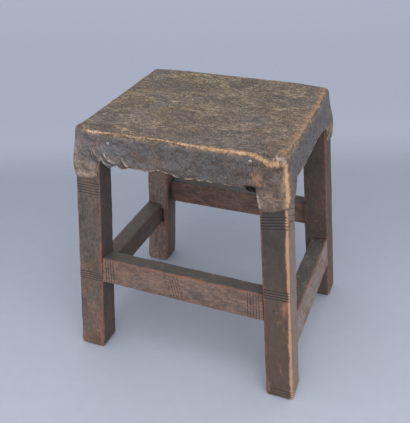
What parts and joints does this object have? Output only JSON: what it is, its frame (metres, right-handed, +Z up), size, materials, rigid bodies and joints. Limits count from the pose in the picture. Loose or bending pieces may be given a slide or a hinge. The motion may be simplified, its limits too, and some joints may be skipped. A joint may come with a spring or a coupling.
{
  "type": "stool",
  "caption": "Low rectangular wooden stool with splayed square legs, pegged stretchers and a dished rawhide seat shrunk over the frame.",
  "frame": {"origin": "on the floor, under the middle of the stool", "axes": "+X to the right and -Y to the viewer when seen from the front, the wider side; +Z up"},
  "size_m": [0.3401, 0.2852, 0.3638],
  "materials": {
    "frame_wood": "dark aged hardwood, hewn, worn to orange-brown on the long edges",
    "hidden_wood": "bare hewn hardwood",
    "peg_wood": "dark whittled hardwood",
    "rawhide": "dark polished rawhide, mottled, tan where the edges are rubbed",
    "tack_iron": "dull worn iron"
  },
  "bodies": {
    "root": {"leg_front_left": "frame_wood", "leg_front_right": "frame_wood", "leg_rear_left": "frame_wood", "leg_rear_right": "frame_wood", "stretcher_front": "frame_wood", "stretcher_rear": "frame_wood", "stretcher_left": "frame_wood", "stretcher_right": "frame_wood", "seat_rail_front": "hidden_wood", "seat_rail_rear": "hidden_wood", "seat_rail_left": "hidden_wood", "seat_rail_right": "hidden_wood", "peg_front_at_front_left": "peg_wood", "peg_front_at_front_right": "peg_wood", "peg_rear_at_rear_left": "peg_wood", "peg_rear_at_rear_right": "peg_wood", "peg_left_at_front_left": "peg_wood", "peg_left_at_rear_left": "peg_wood", "peg_right_at_front_right": "peg_wood", "peg_right_at_rear_right": "peg_wood", "hide_cover": "rawhide", "tack_front_left": "tack_iron", "tack_front_right": "tack_iron"}
  },
  "joints": []
}
